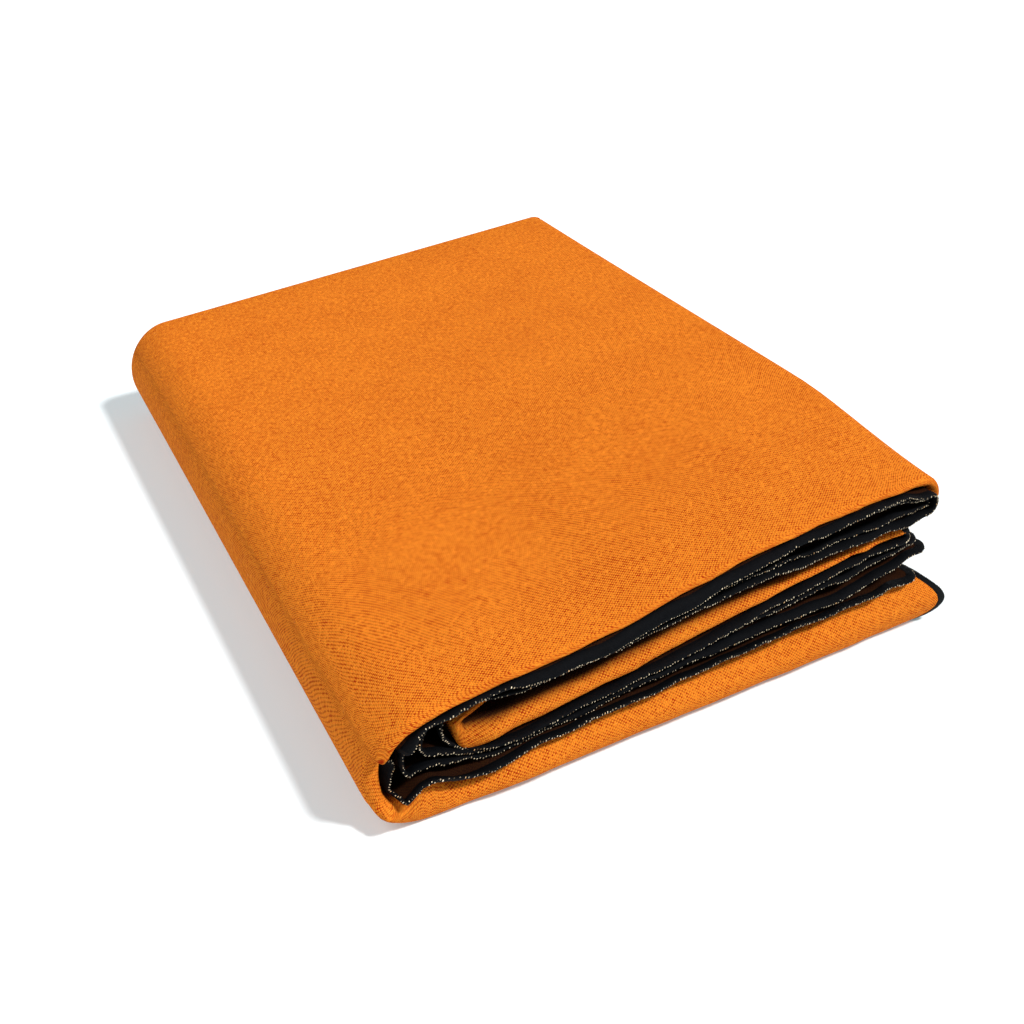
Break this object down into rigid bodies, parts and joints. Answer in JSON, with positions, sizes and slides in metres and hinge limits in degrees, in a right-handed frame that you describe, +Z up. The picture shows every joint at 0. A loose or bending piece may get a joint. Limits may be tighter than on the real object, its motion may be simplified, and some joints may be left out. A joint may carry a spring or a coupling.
{
  "type": "folded tablecloth",
  "caption": "Rectangular orange woven tablecloth, folded into a thick flat packet, with a black overlocked edge sewn in gold thread.",
  "frame": {"origin": "under the middle of the folded packet, on the surface it rests on", "axes": "+X from the spine fold to the open side, +Y from the cut edges at the front to the folds at the back, +Z up"},
  "size_m": [0.3336, 0.4456, 0.092],
  "materials": {
    "cloth": "matt woven cloth with a fine diagonal rib",
    "edging": "dense overlocked thread with a low sheen",
    "needle_thread": "pale gold sewing thread"
  },
  "bodies": {
    "root": {"cloth": "cloth", "edging": "edging"}
  },
  "joints": []
}
